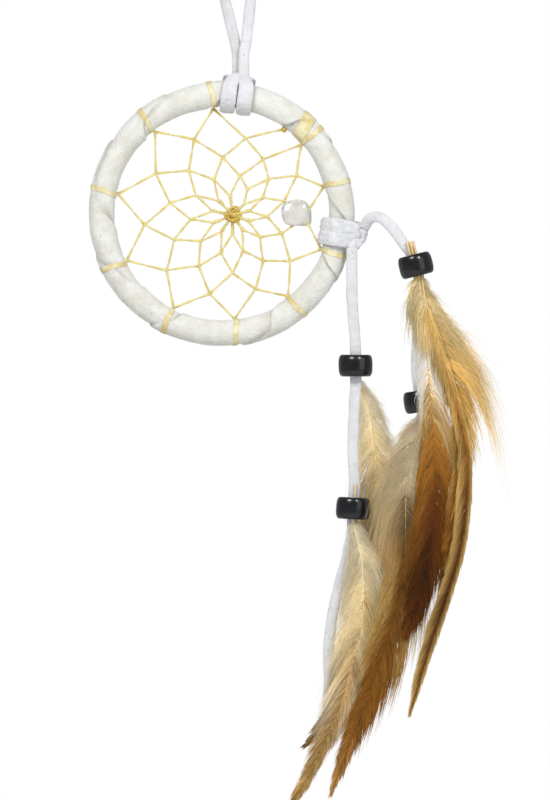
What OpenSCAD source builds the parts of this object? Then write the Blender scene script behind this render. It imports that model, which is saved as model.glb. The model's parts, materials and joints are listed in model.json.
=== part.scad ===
// Small dream catcher: a suede-wrapped ring with a knotted web, hung from a lace loop, with two
// lace tails that carry beads and feathers. Millimetres, +Z up, front faces -Y.
// The origin is where a hook bears inside the top of the hanging loop.

/* [Hoop] */
// Outside diameter of the wrapped hoop
hoop_od = 70; // [56:1:84]
// Thickness of the wrapped hoop
hoop_d = 6.9; // [5.8:0.1:8]
// Thickness of the bare ring inside the wrapping
core_d = 4.4; // [3.6:0.1:4.8]
// Height from the knot on the hoop to the top of the hanging loop
loop_drop = 40.7; // [38:0.1:50]

/* [Web] */
// Thickness of the web thread
thread_d = 0.5; // [0.4:0.05:0.6]
// Diameter of the knot at the centre of the web
centre_d = 4.4; // [3:0.1:5]
// Length of the stone chip
stone_l = 8.1; // [6:0.1:9]
// Height of the stone chip
stone_h = 7.3; // [5:0.1:8]
// Depth of the stone chip, front to back
stone_t = 3.4; // [2.4:0.1:4]

/* [Lace] */
// Width of the suede lace
lace_w = 2.9; // [2.4:0.1:3.2]
// Thickness of the suede lace
lace_t = 1.5; // [1.2:0.1:1.7]
// Room between a knot and the hoop that it turns on
knot_clear = 0.35; // [0.3:0.05:0.5]

/* [Beads] */
// Outside diameter of a bead
bead_d = 9; // [7.8:0.1:10]
// Height of a bead
bead_h = 5.8; // [4.8:0.1:7]
// Diameter of the hole through a bead
bore_d = 4.2; // [4:0.1:5]

/* [Feathers] */
// Thickness of a quill where it leaves its bead
quill_d = 0.7; // [0.5:0.05:0.75]
// Thickness of a feather's vane
vane_t = 1.1; // [0.8:0.1:1.3]
// Length of quill that stands out of the top of a bead
stub_l = 3.5; // [1:0.5:5]

/* [Hidden] */
$fn = 48;
SIDES = 8;

SUEDE = "#eceae2";
SINEW = "#c9b45c";
BLACK = "#22262b";
HORN = "#cba468";

// The hoop: the hitch sits at hitch_a on it, a little left of the loop, and the hoop hangs below.
hitch_a = 82.5;
hitch_x = -0.9;
mid_r = (hoop_od - hoop_d) / 2;
wrap_r = hoop_d / 2;
hitch_at = [hitch_x, 0, -loop_drop];
hoop_at = hitch_at - mid_r * [cos(hitch_a), 0, sin(hitch_a)];

// The knot that carries both tails, and the room that both knots leave round the hoop. The hoop
// bends inside a straight bore, so the bore is wider by how far it bends.
side_a = -9.2;
side_at = hoop_at + mid_r * [cos(side_a), 0, sin(side_a)];
hitch_l = 7.4;
side_l = 5.4;
function bend(l) = mid_r - sqrt(mid_r * mid_r - l * l / 4);
hitch_bore = wrap_r + bend(hitch_l) + knot_clear;
side_bore = wrap_r + bend(side_l) + knot_clear;
knot_t = 0.9;
turn_gap = 0.4;
neck_w = 4.5;
neck_h = 3.3;
neck_gap = 0.2;

// The web: angles at which the thread is hitched to the hoop, in the order it is wound, the first
// being the start knot; then how far each later round is pulled in from the strand it hangs on.
START = [53.5, 94.7, 129, 169, 206, 243, 277, 309, 340.4, 375, 401];
PULL = [0.20, 0.24, 0.31, 0.49];
LAG = len(START);
KNOTS = 53;
web_off = [2.9, 0, -0.3];
web_c = hoop_at + web_off * hoop_od / 70;
anchor_r = mid_r - wrap_r - thread_d / 2;
function anchor(a) = hoop_at + anchor_r * [cos(a), 0, sin(a)];
function pull(k) = PULL[k < 21 ? 0 : k < 32 ? 1 : k < 43 ? 2 : 3];
function hitch_on(a, b, k) = (a + b) / 2 + pull(k) * (web_c - (a + b) / 2);
function wind(p, k) = k == KNOTS ? p : wind(concat(p, [hitch_on(p[k - LAG], p[k - LAG + 1], k)]), k + 1);
WEB = wind([for (a = START) anchor(a)], LAG);
STONE_ON = [30, 19];

// Depths, front to back: the left tail hangs just in front of the hoop, the right one before it.
left_y = -4.6;
right_y = -8.6;
quill_y = 1.35;

// The loop of the hanger, from the neck up one side and down the other.
loop_top = [-0.7, 0, lace_t / 2];
LOOP = [[-0.8, 0.8, -33.2], [-0.9, 0.8, -30], [-1.6, 0.5, -26], [-3, 0, -20], [-4.1, 0, -15.5],
        [-4.8, 0, -10], [-4.7, 0, -5.5], [-3.2, 0, -1.5], loop_top, [1.8, 0, -1.5], [3.2, 0, -5.5],
        [3.2, 0, -10], [2.7, 0, -15.5], [2.2, 0, -20], [1.5, -0.5, -26], [0.9, -0.8, -30],
        [0.8, -0.8, -33.2]];
LOOP_ROLL = [0, 0, 5, 15, 30, 45, 65, 85, 90, 85, 65, 45, 20, 10, 5, 0, 0];

// The tails, from the middle of the side knot. Each bead's place is one of the points.
ARCH = [[6.4, -2.4, 1.4], [7.6, -3.6, 3.4], [9.4, -5, 4.2], [11.4, -6.4, 3.6], [13.4, -7.6, 1.7],
        [15.2, -8.3, -0.6], [16.8, right_y, -2.9]];
RIGHT = [[17.1, right_y, -3.4], [19, right_y, -5.8], [20, right_y, -8.6], [20.7, right_y, -11.4],
         [20.9, right_y, -14], [20.8, right_y, -20], [20.6, right_y, -26], [20.2, right_y, -32],
         [20.3, right_y, -37.4], [21.3, right_y, -44.4], [22.1, right_y, -50]];
LEFT = [[3.2, left_y, -4], [3.2, left_y, -11], [3.3, left_y, -18], [3.8, left_y, -25],
        [4.2, left_y, -30], [4.2, left_y, -35], [4.2, left_y, -40], [3.9, left_y, -46],
        [3.6, left_y, -53], [3.6, left_y, -60], [3.9, left_y, -66.5], [3.5, left_y, -72.6],
        [3.2, left_y, -79], [2, left_y, -85], [0.4, left_y, -91], [-1.2, left_y, -97.5],
        [-2.4, left_y, -104], [-2.9, left_y, -111], [-2.8, left_y, -118], [-3.2, left_y, -127]];
LEFT_UPPER = [4.2, left_y, -35];
LEFT_LOWER = [3.5, left_y, -72.6];
RIGHT_UPPER = [20, right_y, -8.6];
RIGHT_LOWER = [21.3, right_y, -44.4];
LEFT_UPPER_TILT = 0;
LEFT_LOWER_TILT = 3;
RIGHT_UPPER_TILT = -14;
RIGHT_LOWER_TILT = -8;

// Feathers, from the middle of the side knot: the shaft's points, then the vane's half width at
// each. The quill starts inside the bead.
LU = [[8, -2.2, -47], [9.2, -0.4, -55], [10.2, 0.9, -62], [10.7, 1, -76], [9.7, 1, -88],
      [6.8, 1, -102], [1.5, 1, -119], [-6, 1, -132], [-14, 1, -139.5]];
LU_W = [2, 4.5, 5.5, 6, 6, 6, 5, 3.4, 0.6];
LL = [[4.9, -6.4, -82], [6, -6.7, -89], [6, -6.7, -102], [3.4, -6.7, -113], [-0.3, -6.7, -126],
      [-6.4, -6.7, -139], [-15.6, -6.7, -156]];
LL_W = [2, 5, 6.5, 5.5, 5, 4, 0.6];
GO = [[21.8, -12.3, -18], [24.4, -13.6, -25], [27.8, -15, -36], [30.4, -15.4, -49],
      [31.2, -15.4, -65], [29.2, -15.4, -81], [26.6, -15.4, -94]];
GO_W = [2.5, 6.5, 8.5, 7.5, 5, 3.5, 0.6];
LO = [[22.6, -13.8, -18], [26.6, -16, -31], [32.4, -16.9, -52], [33.4, -16.9, -65],
      [31.9, -16.9, -81], [28.4, -16.9, -94], [23.9, -16.9, -107.5], [20, -16.9, -120.5],
      [16.8, -16.9, -131.8]];
LO_W = [1.2, 2.4, 2.6, 2.6, 2.6, 2.6, 2.4, 2, 0.5];
CH = [[21, -10.9, -18], [22.4, -12.2, -28], [23.4, -13.9, -39], [24.4, -14.1, -50],
      [24.8, -14.1, -63], [24.6, -14.1, -76], [22.6, -14.1, -89], [18.7, -14.1, -102],
      [14.7, -14.1, -113]];
CH_W = [1.5, 3, 4.5, 6, 6.5, 6.5, 6, 4.5, 0.6];
RL = [[21.7, -10.3, -50], [19.4, -10.4, -57], [17.4, -10.4, -70], [17.2, -10.4, -83],
      [15.4, -10.4, -97], [10.7, -10.4, -113], [4.9, -10.4, -128.5], [-4.6, -10.4, -153.5]];
RL_W = [2, 7, 8.5, 9, 7.5, 6, 5, 0.6];

// ---- helpers ----
function unit(v) = v / norm(v);
function along(p, i) = unit(p[min(i + 1, len(p) - 1)] - p[max(i - 1, 0)]);

// One ring of a flat or round bar: an ellipse across the route, rolled about it.
function ring(c, t, w, h, roll) =
    let (s = unit(cross(t, [0, 1, 0])), n = cross(s, t))
    [for (k = [0:SIDES - 1])
        let (a = 360 * k / SIDES, u = w * cos(a), v = h * sin(a))
        c + s * (u * cos(roll) - v * sin(roll)) + n * (u * sin(roll) + v * cos(roll))];

// A bar carried along points p with half widths w, half heights h and rolls r, one for each point.
module bar(p, w, h, r) {
    last = len(p) - 1;
    points = [for (i = [0:last]) each ring(p[i], along(p, i), w[i], h[i], r[i])];
    walls = [for (i = [0:last - 1], k = [0:SIDES - 1])
        let (a = i * SIDES + k, b = i * SIDES + (k + 1) % SIDES)
        each [[a, b, b + SIDES], [a, b + SIDES, a + SIDES]]];
    ends = [[for (k = [0:SIDES - 1]) SIDES - 1 - k], [for (k = [0:SIDES - 1]) last * SIDES + k]];
    polyhedron(points, concat(walls, ends), convexity = 4);
}

function same(p, v) = [for (i = p) v];

module lace(p, r) {
    color(SUEDE) bar(p, same(p, lace_w / 2), same(p, lace_t / 2), r);
}

// Puts a piece that is built round the Z axis onto the hoop's tube at angle a.
module on_hoop(a) {
    translate(hoop_at) rotate([0, -a, 0]) translate([mid_r, 0, 0]) children();
}

module hang_at_knot() {
    translate(side_at) children();
}

// A straight strand of thread between two knots of the web.
module strand(a, b) {
    v = b - a;
    translate(a) rotate([0, atan2(v[0], v[2]), 0]) cylinder(h = norm(v), d = thread_d, $fn = 6);
}

module tube_ring(r, w, t) {
    difference() {
        cylinder(r = r + t, h = w, center = true);
        cylinder(r = r, h = w + 1, center = true);
    }
}

// ---- hanger ----
module hanger_loop() {
    lace(LOOP, LOOP_ROLL);
}

module hanger_hitch() {
    turn_w = (hitch_l - turn_gap) / 2;
    bar_t = 0.5;
    color(SUEDE) difference() {
        union() {
            translate(hitch_at) rotate([0, 180 - hitch_a, 0]) {
                for (side = [-1, 1]) translate([0, 0, side * (turn_w + turn_gap) / 2])
                    cylinder(r = hitch_bore + knot_t, h = turn_w, center = true);
                intersection() {
                    cylinder(r = hitch_bore + knot_t + bar_t, h = hitch_l, center = true);
                    translate([-(hitch_bore + knot_t), -4, 0])
                        cube([2 * knot_t + 2, 8, hitch_l], center = true);
                }
            }
            translate([-neck_w / 2, -lace_t - 0.1, LOOP[0][2] - neck_gap - neck_h])
                cube([neck_w, 2 * lace_t + 0.2, neck_h]);
        }
        translate(hitch_at) rotate([0, 180 - hitch_a, 0])
            cylinder(r = hitch_bore, h = hitch_l + 8, center = true);
    }
}

// ---- hoop ----
module hoop_ring() {
    color("#9a958c") translate(hoop_at) rotate([90, 0, 0])
        rotate_extrude() translate([mid_r, 0]) circle(d = core_d);
}

module hoop_wrap() {
    color(SUEDE) translate(hoop_at) rotate([90, 0, 0])
        rotate_extrude() translate([mid_r, 0]) difference() {
            circle(d = hoop_d);
            circle(d = core_d);
        }
}

// ---- web ----
module web_thread() {
    color(SINEW) union() {
        for (k = [LAG:KNOTS - 1]) {
            strand(WEB[k], WEB[k - LAG]);
            strand(WEB[k], WEB[k - LAG + 1]);
        }
        for (k = [KNOTS - LAG + 1:KNOTS - 1]) strand(WEB[k], web_c);
    }
}

module web_hitches() {
    color(SINEW) for (i = [1:LAG - 1]) on_hoop(START[i])
        rotate_extrude() translate([wrap_r + thread_d / 4, 0]) circle(d = thread_d, $fn = 24);
}

module web_tie_off() {
    tie_a = 46.5;
    tie_w = 3.2;
    color(SINEW) {
        on_hoop(tie_a) tube_ring(wrap_r - 0.05, tie_w, thread_d);
        translate(anchor(START[0])) sphere(r = 2 * thread_d);
    }
}

module web_centre_knot() {
    edge = thread_d * 1.8;
    color("#b68f2e") translate(web_c) rotate([90, 0, 0]) rotate_extrude() {
        translate([0, -edge]) square([centre_d / 2 - edge, 2 * edge]);
        intersection() {
            translate([centre_d / 2 - edge, 0]) circle(r = edge);
            translate([0, -edge]) square([centre_d, 2 * edge]);
        }
    }
}

module stone_chip() {
    a = WEB[STONE_ON[0]];
    b = WEB[STONE_ON[1]];
    steps = 6;
    stone_at = (a + b) / 2 + [0.6, stone_t / 8, -1];
    t = [for (i = [0:steps]) cos(180 - 180 * (i + 0.35) / (steps + 0.7))];
    round_in = [for (x = t) pow(1 - pow(abs(x), 2.6), 1 / 2.6)];
    color("#dcd6d2") difference() {
        translate(stone_at) bar([for (x = t) [x * stone_l / 2, 0, 0]], round_in * stone_h / 2,
                                round_in * stone_t / 2, same(t, 0));
        translate(a) rotate([0, atan2(b[0] - a[0], b[2] - a[2]), 0])
            cylinder(h = norm(b - a), d = thread_d + 0.3, $fn = 24);
    }
}

// ---- tails ----
module side_hitch() {
    bulge_r = 2.9;
    bulge_at = [4.3, -2.4, 0];
    color(SUEDE) difference() {
        union() {
            on_hoop(side_a) cylinder(r = side_bore + knot_t, h = side_l, center = true);
            on_hoop(side_a) translate(bulge_at) cylinder(r = bulge_r, h = side_l - 0.6, center = true);
        }
        on_hoop(side_a) cylinder(r = side_bore, h = side_l + 6, center = true);
    }
}

module right_lace_arch() {
    hang_at_knot() lace(ARCH, same(ARCH, 0));
}

module left_lace() {
    hang_at_knot() lace(LEFT, same(LEFT, 0));
}

module right_lace() {
    hang_at_knot() lace(RIGHT, same(RIGHT, 0));
}

// ---- beads ----
module bead(at, tilt) {
    half = bead_h / 2;
    bore = bore_d / 2;
    edge = min(1.5, bead_h / 4, bead_d / 2 - bore);
    color(BLACK) hang_at_knot() translate(at) rotate([0, tilt, 0]) rotate_extrude() difference() {
        union() {
            translate([bore, -half]) square([bead_d / 2 - edge - bore, bead_h]);
            translate([bore, edge - half]) square([bead_d / 2 - bore, bead_h - 2 * edge]);
            for (side = [-1, 1]) translate([bead_d / 2 - edge, side * (half - edge)]) circle(r = edge);
        }
        translate([-bead_d, -bead_h]) square([bead_d + bore, 2 * bead_h]);
    }
}

module left_upper_bead() {
    bead(LEFT_UPPER, LEFT_UPPER_TILT);
}

module left_lower_bead() {
    bead(LEFT_LOWER, LEFT_LOWER_TILT);
}

module right_upper_bead() {
    bead(RIGHT_UPPER, RIGHT_UPPER_TILT);
}

module right_lower_bead() {
    bead(RIGHT_LOWER, RIGHT_LOWER_TILT);
}

// ---- feathers ----
// A quill runs straight through its bead at off from the bead's axis, then along the shaft.
module quill(bead_at, tilt, off, shaft) {
    down = [-sin(tilt), 0, -cos(tilt)];
    side = [cos(tilt), 0, -sin(tilt)];
    start = bead_at + side * off[0] + [0, off[1], 0];
    run = [for (z = [-bead_h / 2 - stub_l, 0, bead_h / 2 + 0.4]) start + z * down];
    points = concat(run, [for (i = [0:len(shaft) - 2]) shaft[i]]);
    radii = [for (i = [0:len(points) - 1]) quill_d / 2 * (1 - 0.6 * i / (len(points) - 1))];
    color(HORN) hang_at_knot() bar(points, radii, radii, same(points, 0));
}

module vane(shaft, widths, tint) {
    color(tint) hang_at_knot() bar(shaft, widths, [for (w = widths) min(vane_t / 2, w)],
                                   same(shaft, 0));
}

module left_upper_quill() {
    quill(LEFT_UPPER, LEFT_UPPER_TILT, [0.4, quill_y], LU);
}

module left_upper_vane() {
    vane(LU, LU_W, "#b89a62");
}

module left_lower_quill() {
    quill(LEFT_LOWER, LEFT_LOWER_TILT, [0.3, -quill_y], LL);
}

module left_lower_vane() {
    vane(LL, LL_W, "#cbb585");
}

module golden_quill() {
    quill(RIGHT_UPPER, RIGHT_UPPER_TILT, [0, -quill_y], GO);
}

module golden_vane() {
    vane(GO, GO_W, "#c39a4f");
}

module long_quill() {
    quill(RIGHT_UPPER, RIGHT_UPPER_TILT, [0.8, -quill_y], LO);
}

module long_vane() {
    vane(LO, LO_W, "#a56c2c");
}

module chestnut_quill() {
    quill(RIGHT_UPPER, RIGHT_UPPER_TILT, [-0.8, -quill_y], CH);
}

module chestnut_vane() {
    vane(CH, CH_W, "#6b3a16");
}

module right_lower_quill() {
    quill(RIGHT_LOWER, RIGHT_LOWER_TILT, [0, -quill_y], RL);
}

module right_lower_vane() {
    vane(RL, RL_W, "#8a5f34");
}

hanger_loop();
hanger_hitch();
hoop_ring();
hoop_wrap();
web_thread();
web_hitches();
web_tie_off();
web_centre_knot();
stone_chip();
side_hitch();
right_lace_arch();
left_lace();
right_lace();
left_upper_bead();
left_lower_bead();
right_upper_bead();
right_lower_bead();
left_upper_quill();
left_upper_vane();
left_lower_quill();
left_lower_vane();
golden_quill();
golden_vane();
long_quill();
long_vane();
chestnut_quill();
chestnut_vane();
right_lower_quill();
right_lower_vane();
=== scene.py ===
# %% [markdown]
# # A small dream catcher
# A ring wrapped in white suede holds a knotted web of waxed thread. It hangs from a lace loop, and
# a second lace knotted to its side carries black beads and rooster feathers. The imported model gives
# the places of the hoop, the knots and the beads, and this lesson builds the visible surfaces on
# them, cell by cell.

# %% The frame
import json
import bpy
import numpy as np
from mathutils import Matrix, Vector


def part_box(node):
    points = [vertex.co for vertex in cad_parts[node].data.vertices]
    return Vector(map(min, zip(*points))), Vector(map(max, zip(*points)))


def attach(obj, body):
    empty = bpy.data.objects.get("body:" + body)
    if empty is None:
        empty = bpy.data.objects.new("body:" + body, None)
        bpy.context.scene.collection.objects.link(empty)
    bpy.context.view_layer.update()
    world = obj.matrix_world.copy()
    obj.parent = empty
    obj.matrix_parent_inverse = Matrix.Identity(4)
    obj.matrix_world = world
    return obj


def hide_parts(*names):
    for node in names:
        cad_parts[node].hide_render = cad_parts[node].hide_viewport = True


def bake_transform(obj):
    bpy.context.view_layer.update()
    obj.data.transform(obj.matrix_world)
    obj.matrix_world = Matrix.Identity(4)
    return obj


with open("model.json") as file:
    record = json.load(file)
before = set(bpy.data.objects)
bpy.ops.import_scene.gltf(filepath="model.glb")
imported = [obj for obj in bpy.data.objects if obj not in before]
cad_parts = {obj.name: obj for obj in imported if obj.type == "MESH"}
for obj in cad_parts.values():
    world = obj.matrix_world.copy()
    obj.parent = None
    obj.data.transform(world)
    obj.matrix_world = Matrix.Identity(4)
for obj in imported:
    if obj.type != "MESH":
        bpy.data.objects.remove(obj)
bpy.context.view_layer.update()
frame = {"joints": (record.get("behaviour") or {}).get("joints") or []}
joints = {j["name"]: j for j in frame["joints"]}
MM = 0.001


def box_of(node):
    """The lowest and highest corner of a node as two arrays, in metres."""
    return [np.array(corner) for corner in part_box(node)]


wrap_low, wrap_high = box_of("hoop_wrap")
hoop_at = (wrap_low + wrap_high) / 2
tube_r = (wrap_high[1] - wrap_low[1]) / 2
mid_r = (wrap_high[0] - wrap_low[0]) / 2 - tube_r
hitch_at = np.array(joints["hoop_tilt"]["pos_m"])
side_at = np.array(joints["side_turn"]["pos_m"])
print("hoop at", hoop_at, "tube", tube_r, "middle radius", mid_r)

# %% [markdown]
# ## Camera
# A long lens far away shows a flat, hanging thing without bending it. The lens is worked out from
# how tall a stretch of the object has to fill the picture, so the numbers stay easy to change.

# %% Camera
PICTURE_TALL = 211.2 * MM
CAMERA_FAR = 2.5
CAMERA_RIGHT, CAMERA_DOWN = 14.1 * MM, 49.1 * MM
SENSOR = 36.0
scene = bpy.context.scene
camera_data = bpy.data.cameras.new("camera")
camera_data.sensor_width = SENSOR
camera_data.lens = SENSOR * CAMERA_FAR / PICTURE_TALL
camera_data.clip_end = 20
camera = bpy.data.objects.new("camera", camera_data)
camera.location = (hoop_at[0] + CAMERA_RIGHT, -CAMERA_FAR, hoop_at[2] - CAMERA_DOWN)
camera.rotation_euler = (np.pi / 2, 0, 0)
scene.collection.objects.link(camera)
scene.camera = camera
scene.view_settings.view_transform = "Standard"
print("lens", round(camera_data.lens, 1), "mm")

# %% [markdown]
# ## Tools for surfaces
# Almost everything here is a grid of points: rows along the piece, columns round it. One function
# turns such a grid into a closed mesh, so each piece only has to say where its points are. Many
# equal pieces, such as hundreds of barbs, are one array with an extra first axis.

# %% Grids into meshes
def new_object(name, points, faces, smooth=True):
    """A mesh object from an (n, 3) array and a list of face arrays, shaded smooth."""
    mesh = bpy.data.meshes.new(name)
    loops = np.concatenate([f.reshape(-1) for f in faces]).astype(np.int32)
    sizes = np.concatenate([np.full(len(f), f.shape[1], np.int32) for f in faces])
    starts = np.concatenate([[0], np.cumsum(sizes)[:-1]]).astype(np.int32)
    mesh.vertices.add(len(points))
    mesh.vertices.foreach_set("co", np.asarray(points, np.float32).reshape(-1))
    mesh.loops.add(len(loops))
    mesh.loops.foreach_set("vertex_index", loops)
    mesh.polygons.add(len(sizes))
    mesh.polygons.foreach_set("loop_start", starts)
    mesh.update(calc_edges=True)
    mesh.validate()
    mesh.polygons.foreach_set("use_smooth", np.full(len(mesh.polygons), smooth))
    piece = bpy.data.objects.new(name, mesh)
    scene.collection.objects.link(piece)
    return piece


def tube_faces(count, rings, sides, ends="cap"):
    """Faces of count tubes whose points are numbered tube by tube and ring by ring.

    ends is cap (a flat face at both ends) or join (the last ring meets the first)."""
    last = rings if ends == "join" else rings - 1
    t, r, s = np.meshgrid(np.arange(count), np.arange(last), np.arange(sides), indexing="ij")
    base = t * rings * sides
    near, far, after = base + r * sides, base + (r + 1) % rings * sides, (s + 1) % sides
    quads = np.stack([near + s, near + after, far + after, far + s], -1).reshape(-1, 4)
    if ends == "join":
        return [quads]
    first = np.arange(count)[:, None] * rings * sides
    column = np.arange(sides)[None, :]
    return [quads, first + column[:, ::-1], first + (rings - 1) * sides + column]


def grid_object(name, grid, ends="cap"):
    """An object from a grid of shape (tubes, rings, sides, 3) or (rings, sides, 3).

    The volume inside the faces is the sum of corner triple products; if it comes out negative the
    faces look inwards, and each one is turned round."""
    grid = grid[None] if grid.ndim == 3 else grid
    points = grid.reshape(-1, 3)
    faces = tube_faces(*grid.shape[:3], ends)
    a, b, c, d = (points[faces[0][:, k]] - points.mean(0) for k in range(4))
    if np.sum(np.cross(a, b) * c) + np.sum(np.cross(a, c) * d) < 0:
        faces = [f[:, ::-1] for f in faces]
    return new_object(name, points, faces)


def paint(piece, name, colours):
    """Stores one colour for each vertex as an attribute that a material can read."""
    layer = piece.data.color_attributes.new(name, "FLOAT_COLOR", "POINT")
    rgba = np.ones((len(piece.data.vertices), 4), np.float32)
    rgba[:, :3] = np.asarray(colours, np.float32).reshape(-1, 3)
    layer.data.foreach_set("color", rgba.reshape(-1))


# %% [markdown]
# ## Lines to carry a profile along
# A lace or a feather's shaft is a smooth line through a few chosen points. A Catmull-Rom curve
# passes through each of them, and sampling it at equal steps keeps the surface even.

# %% Smooth lines
def unit(v):
    """Each vector of an array divided by its length."""
    return v / np.maximum(np.linalg.norm(v, axis=-1, keepdims=True), 1e-12)


def smooth_line(points, step):
    """A Catmull-Rom curve through rows of x, y, z and anything else, resampled at even steps."""
    p = np.asarray(points, float)
    p = np.vstack([2 * p[0] - p[1], p, 2 * p[-1] - p[-2]])
    t = np.linspace(0, 1, 24, endpoint=False)[None, :, None]
    a, b, c, d = (p[i:len(p) - 3 + i][:, None] for i in range(4))
    curve = 0.5 * (2 * b + (c - a) * t + (2 * a - 5 * b + 4 * c - d) * t ** 2
                   + (3 * b - a - 3 * c + d) * t ** 3)
    curve = np.vstack([curve.reshape(-1, p.shape[1]), p[-2]])
    steps = np.linalg.norm(np.diff(curve[:, :3], axis=0), axis=1)
    run = np.concatenate([[0], np.cumsum(steps)])
    even = np.linspace(0, run[-1], max(int(run[-1] / step), 4))
    return np.stack([np.interp(even, run, column) for column in curve.T], 1)


def length_of(line):
    """The length of a line of points."""
    return float(np.linalg.norm(np.diff(line, axis=0), axis=1).sum())


def frames(line, outward=(0, 1, 0)):
    """Directions along, across and out of a line; across is square to along and to outward."""
    along = unit(np.gradient(line, axis=0))
    across = unit(np.cross(along, np.broadcast_to(outward, line.shape)))
    return along, across, np.cross(across, along)


def ripple(points, size, seed, waves=7):
    """Smooth noise from -1 to 1 at points: sines summed over seeded random directions."""
    draw = np.random.default_rng(seed)
    value = 0
    for _ in range(waves):
        direction = draw.normal(size=3)
        value = value + np.sin(points @ direction / size * 2 + draw.uniform(0, 6.3))
    return value / waves ** 0.5 / 1.5


def strap_profile(width, thick, sides=20, square=3.2):
    """A flat bar's section: a superellipse, which is an ellipse with fuller corners."""
    a = np.linspace(0, 2 * np.pi, sides, endpoint=False)
    c, s = np.cos(a), np.sin(a)
    size = (np.abs(c) ** square + np.abs(s) ** square) ** (-1 / square)
    return np.stack([c * size * width / 2, s * size * thick / 2], 1)


def sweep(line, profile, roll=0.0, outward=(0, 1, 0)):
    """Carries a profile (sides, 2) along a line, rolled by an angle at each ring."""
    _, across, out = frames(line, outward)
    roll = np.broadcast_to(roll, len(line))[:, None]
    u, v = profile[None, :, 0], profile[None, :, 1]
    u, v = u * np.cos(roll) - v * np.sin(roll), u * np.sin(roll) + v * np.cos(roll)
    return line[:, None] + across[:, None] * u[..., None] + out[:, None] * v[..., None]


def ball(rings, sides, pole):
    """Directions over a ball: (sin b cos a, cos b, sin b sin a), from pole to pi - pole in b."""
    b = np.linspace(pole, np.pi - pole, rings)[:, None]
    a = np.linspace(0, 2 * np.pi, sides, endpoint=False)[None]
    return np.stack([np.sin(b) * np.cos(a), np.cos(b) + 0 * a, np.sin(b) * np.sin(a)], -1)


# %% [markdown]
# ## Suede laces
# The laces are 2.9 mm wide strips of faux suede. Each is one smooth line with a flat section, a
# little uneven in width and face as a cut strip is. They are free cords, and the script prints how
# long each one is.

# %% Lace routes
LACE_W, LACE_T = 2.9 * MM, 1.5 * MM
LEFT_Y, RIGHT_Y = -4.6, -8.6
LOOP = [(-0.8, 0.8, -36.4), (-0.9, 0.8, -30), (-1.6, 0.5, -26), (-3, 0, -20), (-4.1, 0, -15.5),
        (-4.8, 0, -10), (-4.7, 0, -5.5), (-3.2, 0, -1.5), (-0.7, 0, 0.75), (1.8, 0, -1.5),
        (3.2, 0, -5.5), (3.2, 0, -10), (2.7, 0, -15.5), (2.2, 0, -20), (1.5, -0.5, -26),
        (0.9, -0.8, -30), (0.8, -0.8, -36.4)]
LOOP_ROLL = [0, 0, 5, 15, 30, 45, 65, 85, 90, 85, 65, 45, 20, 10, 5, 0, 0]
ARCH = [(6.4, -2.4, 1.4), (7.6, -3.6, 3.4), (9.4, -5, 4.2), (11.4, -6.4, 3.6), (13.4, -7.6, 1.7),
        (15.2, -8.3, -0.6), (16.8, RIGHT_Y, -2.9)]
RIGHT = [(19, RIGHT_Y, -5.8), (20, RIGHT_Y, -8.6), (20.7, RIGHT_Y, -11.4), (20.9, RIGHT_Y, -14),
         (20.8, RIGHT_Y, -20), (20.6, RIGHT_Y, -26), (20.2, RIGHT_Y, -32), (20.3, RIGHT_Y, -37.4),
         (21.3, RIGHT_Y, -44.4), (22.1, RIGHT_Y, -50)]
LEFT = [(3.2, -4), (3.2, -11), (3.3, -18), (3.8, -25), (4.2, -30), (4.2, -35), (4.2, -40),
        (3.9, -46), (3.6, -53), (3.6, -60), (3.9, -66.5), (3.5, -72.6), (3.2, -79), (2, -85),
        (0.4, -91), (-1.2, -97.5), (-2.4, -104), (-2.9, -111), (-2.8, -118), (-3.2, -127)]


def from_knot(points):
    """Points given in millimetres from the middle of the side knot, in the object's frame."""
    return np.asarray(points, float) * MM + side_at


# %% Laces
def lace(name, line, roll=0.0, seed=1, wave=0.05):
    """A lace along a line: a flat section whose width and faces wander a little."""
    grid = sweep(line, strap_profile(LACE_W, LACE_T), roll)
    middle = grid.mean(1, keepdims=True)
    grid = middle + (grid - middle) * (1 + wave * ripple(grid, 4 * MM, seed)[..., None])
    grid = grid + unit(grid - middle) * 0.035 * MM * ripple(grid, 0.5 * MM, seed + 1)[..., None]
    return grid_object(name, grid)


LACE_STEP = 0.35 * MM
loop_line = smooth_line(np.array(LOOP) * MM, LACE_STEP)
left_line = smooth_line(from_knot([(x, LEFT_Y, z) for x, z in LEFT]), LACE_STEP)
right_line = smooth_line(from_knot(ARCH + RIGHT), LACE_STEP)
loop_roll = np.radians(np.interp(np.linspace(0, 1, len(loop_line)),
                                 np.linspace(0, 1, len(LOOP_ROLL)), LOOP_ROLL))
loop_lace = lace("loop_lace", loop_line, loop_roll, seed=11)
left_tail = lace("left_tail_lace", left_line, seed=13)
right_tail = lace("right_tail_lace", right_line, seed=17)

for piece, line, lay, end in ((loop_lace, loop_line, "taut", "object"),
                              (left_tail, left_line, "hanging", "bare"),
                              (right_tail, right_line, "hanging", "bare")):
    print(piece.name, round(length_of(line) / MM, 1), "mm long")

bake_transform(loop_lace)
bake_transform(left_tail)
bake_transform(right_tail)
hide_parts("hanger_loop")
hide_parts("left_lace")
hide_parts("right_lace", "right_lace_arch")

# %% [markdown]
# ## Lark's-head hitches
# Both knots are the same hitch: the lace is folded, the fold lies on the front of the hoop, and the
# two ends go round behind it and out through the fold. The lace stays flat on the hoop all the way,
# so each ring of the surface is told which way is outwards from the tube.

# %% Hitches
HITCH_R = tube_r + 1.02 * MM
TAIL_NARROW = 0.82
FRONT = np.array([0.0, -1.0, 0.0])


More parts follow.
